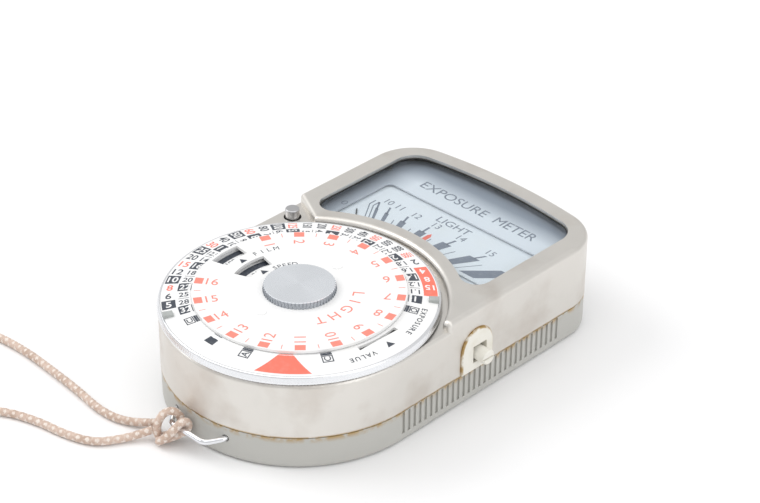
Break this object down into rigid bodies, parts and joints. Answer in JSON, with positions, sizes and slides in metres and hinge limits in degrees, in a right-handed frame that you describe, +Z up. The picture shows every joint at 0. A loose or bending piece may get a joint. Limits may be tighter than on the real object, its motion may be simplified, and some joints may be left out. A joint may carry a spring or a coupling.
{
  "type": "selenium light meter",
  "caption": "Hand-held selenium exposure meter with a window scale, a rotating calculator dial, a hinged rear baffle and a neck cord.",
  "frame": {"origin": "on the flat underside, straight below the dial axis", "axes": "+Z up out of the dial, +Y from the dial to the meter window, +X to the pointer lock side"},
  "size_m": [0.1168, 0.1493, 0.0275],
  "materials": {
    "cover_nickel": "satin plated",
    "base_plastic": "moulded",
    "cream_plastic": "moulded",
    "clear_glass": "polished",
    "black_rubber": "matt",
    "mask_white": "enamel",
    "scale_white": "enamel with print",
    "dial_white": "enamel with print",
    "dial_rim": "turned",
    "knob_metal": "spun",
    "steel": "machined",
    "brass": "machined",
    "soft_iron": "ground",
    "copper_wire": "enamelled",
    "black_paint": "matt",
    "cell_dark": "selenium layer",
    "clear_plastic": "moulded lens",
    "bail_chrome": "polished",
    "cord_braid": "braided"
  },
  "bodies": {
    "case": {"baffle_hinge_pin": "steel", "base_case": "base_plastic", "bridge_screws": "steel", "button_guide": "brass", "case_screws": "steel", "cell_contact_ring": "brass", "cell_contact_spring": "brass", "cell_lens": "clear_plastic", "cell_retainer": "black_rubber", "chassis_screws": "steel", "dial_base": "steel", "dial_bush": "brass", "dial_nut": "brass", "front_cover": "cover_nickel", "jewel_screws": "brass", "lead_wires": "copper_wire", "lever_pin": "steel", "lock_escutcheon": "cream_plastic", "lower_bridge": "brass", "mask_screws": "steel", "meter_chassis": "steel", "movement_magnet": "soft_iron", "movement_yoke": "soft_iron", "photocell": "cell_dark", "release_spring": "steel", "scale_mask": "mask_white", "series_resistor": "cream_plastic", "strap_bail": "bail_chrome", "strap_coil": "cord_braid", "strap_cord_lower": "cord_braid", "strap_cord_upper": "cord_braid", "strap_knot": "cord_braid", "upper_bridge": "brass", "window_gasket": "black_rubber", "window_glass": "clear_glass"},
    "outer_dial": {"dial_face": "dial_white", "dial_rim": "dial_rim", "dial_lugs": "knob_metal", "film_disc": "dial_white"},
    "light_dial": {"light_disc": "dial_white", "dial_hub": "brass", "dial_rivets": "dial_white", "ev_disc": "dial_white", "centre_knob": "knob_metal", "knob_shaft": "steel", "shaft_clip": "steel"},
    "needle": {"moving_coil": "copper_wire", "pivot_staffs": "steel", "pointer": "black_paint", "upper_hairspring": "brass", "lower_hairspring": "brass"},
    "pointer_lock": {"lock_slider": "cream_plastic"},
    "lock_lever": {"lock_lever": "steel"},
    "release_button": {"release_button": "steel"},
    "baffle_catch": {"baffle_catch": "steel"},
    "baffle": {"baffle": "black_paint"},
    "range_slide": {"scale_plate": "scale_white", "range_link": "steel"},
    "zero_screw": {"zero_screw": "brass"},
    "zero_arm": {"zero_arm": "brass"}
  },
  "joints": [
    {"name": "outer_dial_turn", "type": "hinge", "parent": "case", "child": "outer_dial", "pos_m": [0, 0, 0.024], "axis": [0, 0, 1], "continuous": true},
    {"name": "light_dial_turn", "type": "hinge", "parent": "case", "child": "light_dial", "pos_m": [0, 0, 0.024], "axis": [0, 0, 1], "continuous": true},
    {"name": "pointer_swing", "type": "hinge", "parent": "case", "child": "needle", "pos_m": [-0.0015, 0.0165, 0.0135], "axis": [0, 0, 1], "range_deg": [-85, 0], "stiffness_Nm_per_rad": 0.00001},
    {"name": "lock_slide", "type": "slide", "parent": "case", "child": "pointer_lock", "axis": [0, 0, 1], "range_m": [0, 0.0007]},
    {"name": "lock_lever_tilt", "type": "hinge", "parent": "case", "child": "lock_lever", "pos_m": [-0.014, 0.029, 0.0166], "axis": [0, 1, 0], "range_deg": [-1.2, 0]},
    {"name": "release_press", "type": "slide", "parent": "case", "child": "release_button", "axis": [0, 0, -1], "range_m": [0, 0.0008], "stiffness_N_per_m": 200, "springref_m": -0.002, "deforming": ["release_spring"]},
    {"name": "catch_rock", "type": "hinge", "parent": "case", "child": "baffle_catch", "pos_m": [-0.0286, 0.0304, 0.0054], "axis": [0, 1, 0], "range_deg": [0, 18.2]},
    {"name": "baffle_open", "type": "hinge", "parent": "case", "child": "baffle", "pos_m": [0, 0.034, 0.0009], "axis": [-1, 0, 0], "range_deg": [0, 180]},
    {"name": "range_shift", "type": "slide", "parent": "case", "child": "range_slide", "axis": [0, -1, 0], "range_m": [0, 0.0046]},
    {"name": "zero_screw_turn", "type": "hinge", "parent": "case", "child": "zero_screw", "pos_m": [-0.0015, 0.0105, 0.0025], "axis": [0, 0, 1], "range_deg": [-40, 40]},
    {"name": "zero_arm_turn", "type": "hinge", "parent": "case", "child": "zero_arm", "pos_m": [-0.0015, 0.0165, 0.0072], "axis": [0, 0, 1], "range_deg": [-4, 4]}
  ],
  "couplings": [
    {"joint": "lock_lever_tilt", "follows": "lock_slide", "rad_per_m": -24.155},
    {"joint": "catch_rock", "follows": "release_press", "rad_per_m": 392.7},
    {"joint": "range_shift", "follows": "baffle_open", "m_per_rad": 0.0014324},
    {"joint": "zero_arm_turn", "follows": "zero_screw_turn", "ratio": 0.09091}
  ]
}
